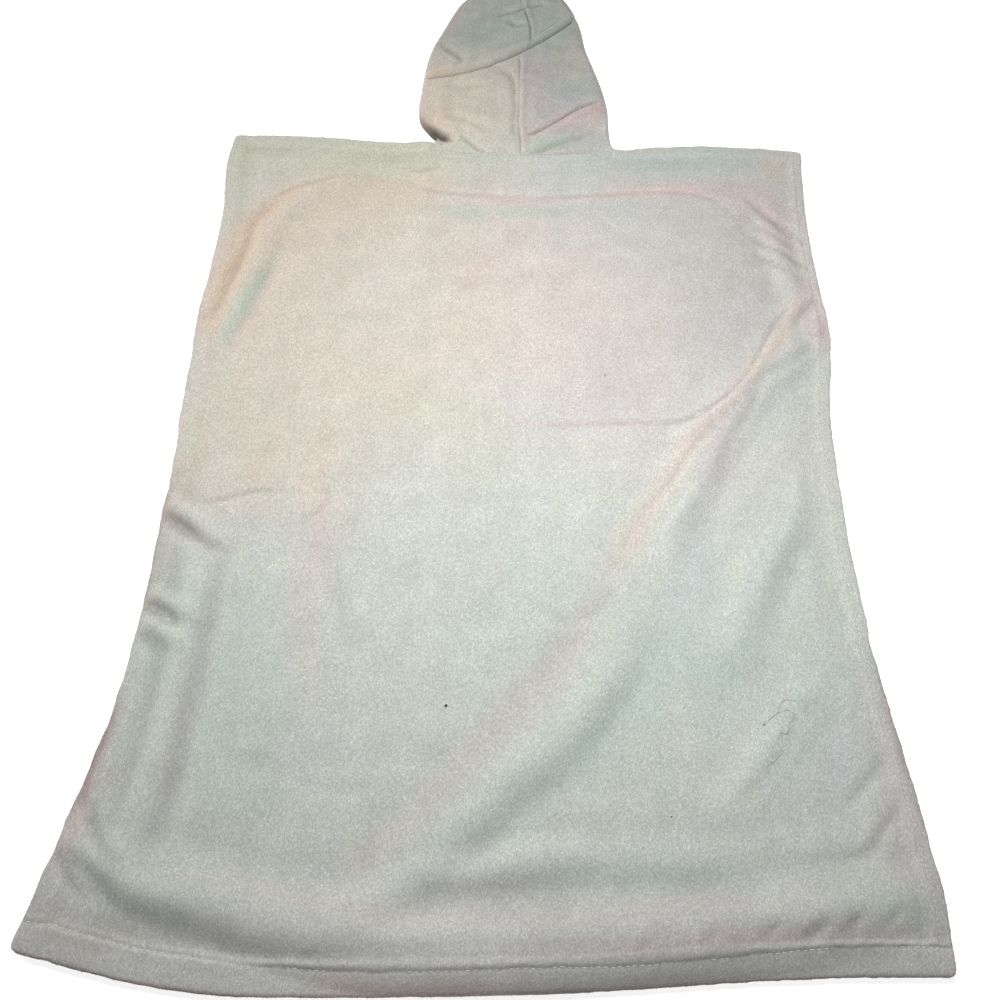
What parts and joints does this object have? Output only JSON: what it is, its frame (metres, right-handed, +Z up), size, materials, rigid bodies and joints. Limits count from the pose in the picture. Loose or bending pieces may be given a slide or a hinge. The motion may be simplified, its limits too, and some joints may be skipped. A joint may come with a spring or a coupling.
{
  "type": "hooded bath poncho",
  "caption": "Hooded towelling bath poncho laid flat with its back up, A-line body with turned hems and a two-piece hood spread beyond the shoulders.",
  "frame": {"origin": "centre of the footprint on the surface that the garment lies on", "axes": "+Y from the hem towards the tip of the hood, +X across to the right as seen from the hem, +Z up"},
  "size_m": [0.6887, 1.2122, 0.0193],
  "materials": {
    "towelling": "matte short-pile terry, pale mint and cream with faint blush, aqua and lilac dye"
  },
  "bodies": {
    "root": {"back_panel": "towelling", "front_panel": "towelling", "hood_left": "towelling", "hood_right": "towelling"}
  },
  "joints": []
}
